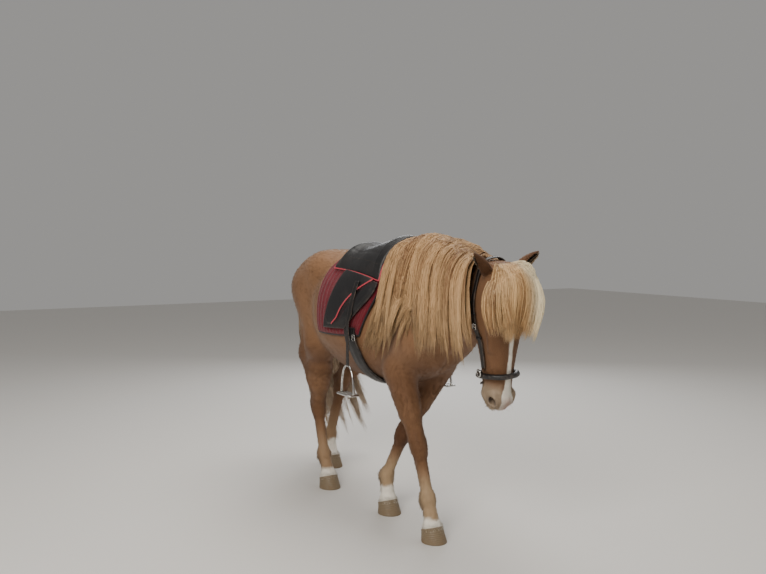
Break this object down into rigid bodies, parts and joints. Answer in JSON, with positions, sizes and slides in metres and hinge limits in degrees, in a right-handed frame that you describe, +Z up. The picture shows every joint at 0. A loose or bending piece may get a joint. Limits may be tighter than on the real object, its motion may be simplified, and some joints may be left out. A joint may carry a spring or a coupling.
{
  "type": "saddled icelandic horse, still life-size model",
  "caption": "Life-size still model of a chestnut, flaxen-maned Icelandic horse at the walk, wearing saddle, pad, girth, stirrups and bridle.",
  "frame": {"origin": "middle of the base of the bounding box, on the floor under the horse", "axes": "+X forward, +Y to the horse's left, +Z up"},
  "size_m": [2.1346, 0.8034, 1.4298],
  "materials": {
    "coat": "short warm chestnut horse coat",
    "coat_mane": "long flaxen hair over a chestnut coat",
    "coat_dark": "short dark red-brown hair",
    "eye": "wet dark brown eye",
    "hoof_horn": "dusty pale grey hoof horn",
    "black_leather": "black tack leather, semi-gloss",
    "pad_cloth": "maroon quilted cloth with black binding",
    "steel": "bright steel"
  },
  "bodies": {
    "root": {"chin_strap": "black_leather", "girth": "black_leather", "head": "coat", "headstall": "black_leather", "left_bridle_ring": "steel", "left_cheek_buckle": "steel", "left_ear": "coat_dark", "left_eye": "eye", "left_flap": "black_leather", "left_fore_hoof": "hoof_horn", "left_fore_leg": "coat", "left_girth_buckle_back": "steel", "left_girth_buckle_front": "steel", "left_hind_hoof": "hoof_horn", "left_hind_leg": "coat", "left_stirrup": "steel", "left_stirrup_leather": "black_leather", "neck": "coat_mane", "noseband": "black_leather", "right_bridle_ring": "steel", "right_cheek_buckle": "steel", "right_ear": "coat_dark", "right_eye": "eye", "right_flap": "black_leather", "right_fore_hoof": "hoof_horn", "right_fore_leg": "coat", "right_girth_buckle_back": "steel", "right_girth_buckle_front": "steel", "right_hind_hoof": "hoof_horn", "right_hind_leg": "coat", "right_stirrup": "steel", "right_stirrup_leather": "black_leather", "saddle": "black_leather", "saddle_pad": "pad_cloth", "tail": "coat_mane", "torso": "coat"}
  },
  "joints": []
}
